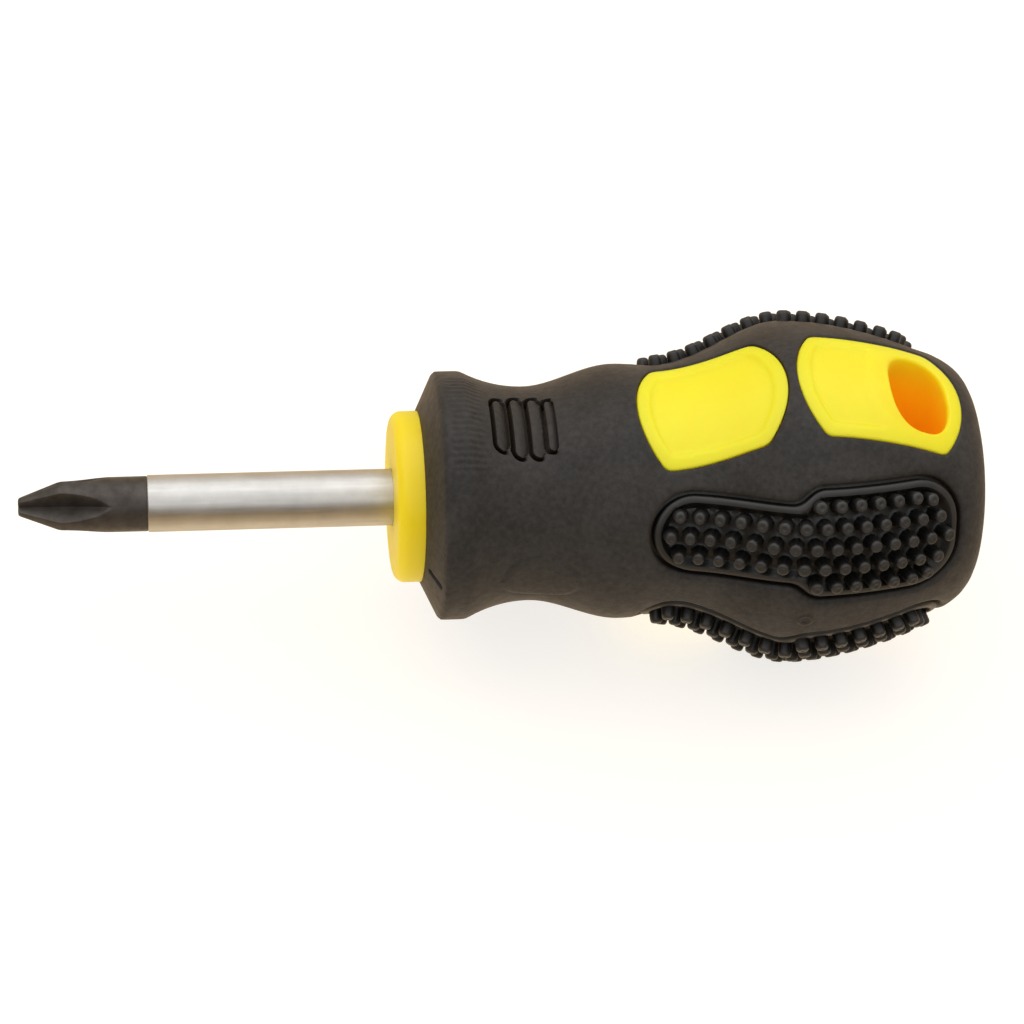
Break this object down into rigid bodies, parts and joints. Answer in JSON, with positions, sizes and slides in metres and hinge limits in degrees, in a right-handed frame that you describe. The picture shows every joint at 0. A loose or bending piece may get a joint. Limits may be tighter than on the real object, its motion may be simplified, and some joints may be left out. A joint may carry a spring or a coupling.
{
  "type": "stubby screwdriver",
  "caption": "Stubby cross-head screwdriver: short steel blade in a fat two-colour handle with studded rubber finger pads and a hang hole.",
  "frame": {"origin": "centre of the blade's blunt end face, on the tool's axis", "axes": "+X along the tool from the point to the butt, +Z along the hang hole, out of the window that the picture shows"},
  "size_m": [0.1019, 0.0366, 0.0356],
  "materials": {
    "steel": "satin chrome plated shank, black oxide point",
    "core_plastic": "semi-gloss moulded yellow",
    "grip_rubber": "matte, finely eroded mould texture",
    "pad_rubber": "matte, soft, slightly smoother than the grip"
  },
  "bodies": {
    "root": {"blade": "steel", "core": "core_plastic", "grip": "grip_rubber", "pad_front_upper": "pad_rubber", "pad_front_lower": "pad_rubber", "pad_back_lower": "pad_rubber", "pad_back_upper": "pad_rubber"}
  },
  "joints": []
}
